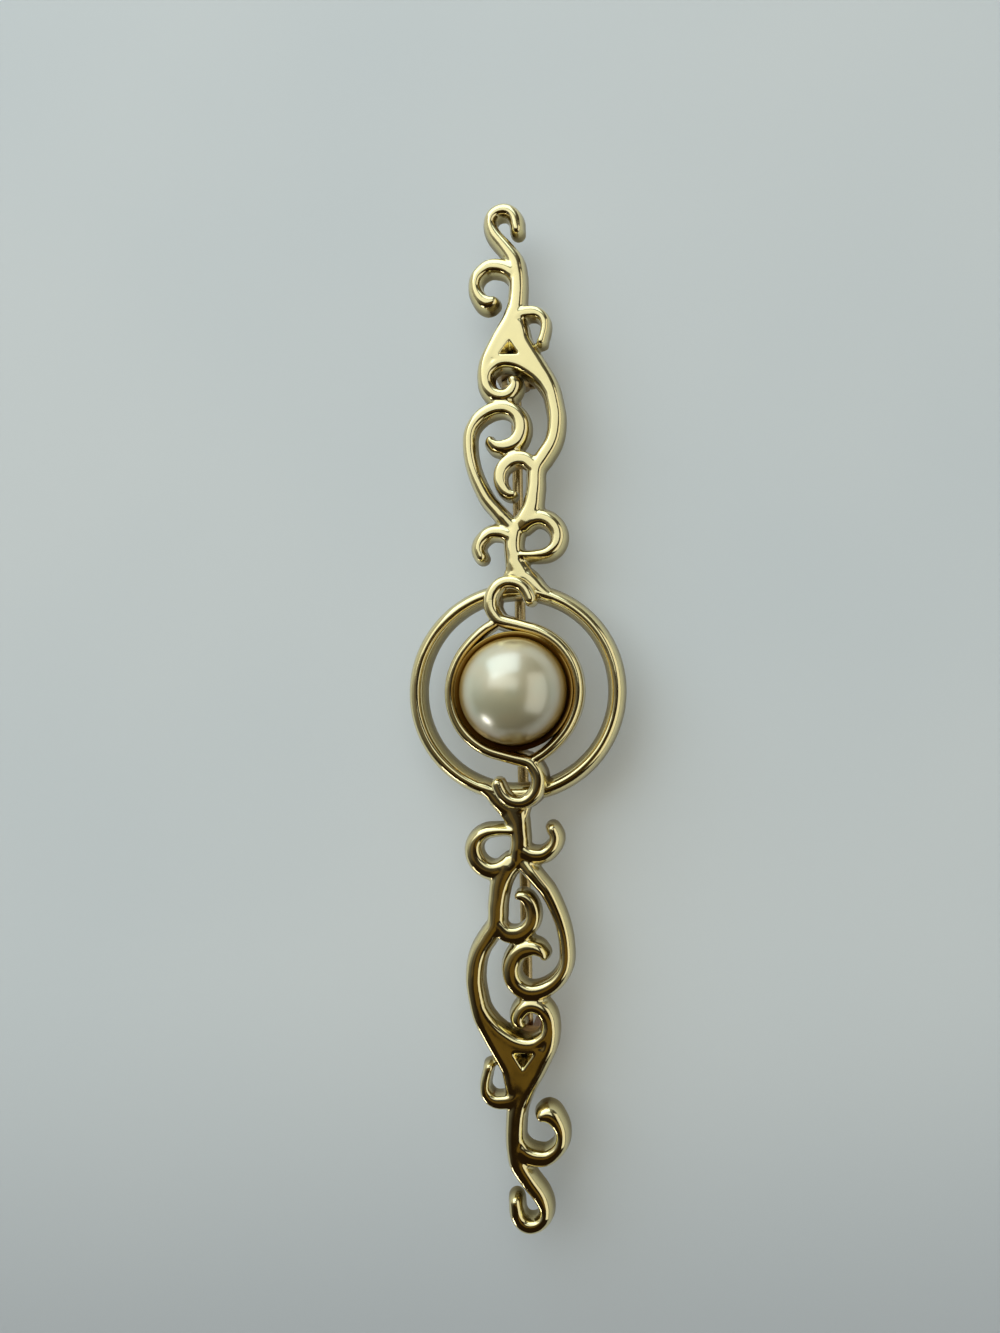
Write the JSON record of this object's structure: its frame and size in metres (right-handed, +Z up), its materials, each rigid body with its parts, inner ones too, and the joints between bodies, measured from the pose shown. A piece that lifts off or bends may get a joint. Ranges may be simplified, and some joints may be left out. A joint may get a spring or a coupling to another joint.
{
  "type": "bar brooch",
  "caption": "Slim openwork scroll bar brooch with a centre ring, an S-shaped scroll round a cupped half-round pearl, and a hinged pin stem with a turning safety catch.",
  "frame": {"origin": "under the middle of the bar, on the flats of the hinge and the catch that the brooch lies on", "axes": "+Z up out of the brooch's face, +Y along the bar from the hinge to the catch, +X across the bar"},
  "size_m": [0.0166, 0.0778, 0.01],
  "materials": {
    "cast_gold_tone": "polished, softly worn",
    "pearl_white": "nacreous gloss",
    "stem_wire": "drawn, slightly dull",
    "fitting_brass": "slightly dull"
  },
  "bodies": {
    "frame": {"scroll_frame": "cast_gold_tone", "pearl": "pearl_white", "hinge_rivet": "fitting_brass"},
    "stem": {"pin_stem": "stem_wire"},
    "catch": {"catch_sleeve": "fitting_brass"}
  },
  "joints": [
    {"name": "stem_hinge", "type": "hinge", "parent": "frame", "child": "stem", "pos_m": [0, -0.0262, 0.0015], "axis": [-1, 0, 0], "range_deg": [0, 95]},
    {"name": "sleeve_turn", "type": "hinge", "parent": "frame", "child": "catch", "pos_m": [0, 0.0263, 0.0015], "axis": [0, -1, 0], "range_deg": [0, 110]}
  ]
}
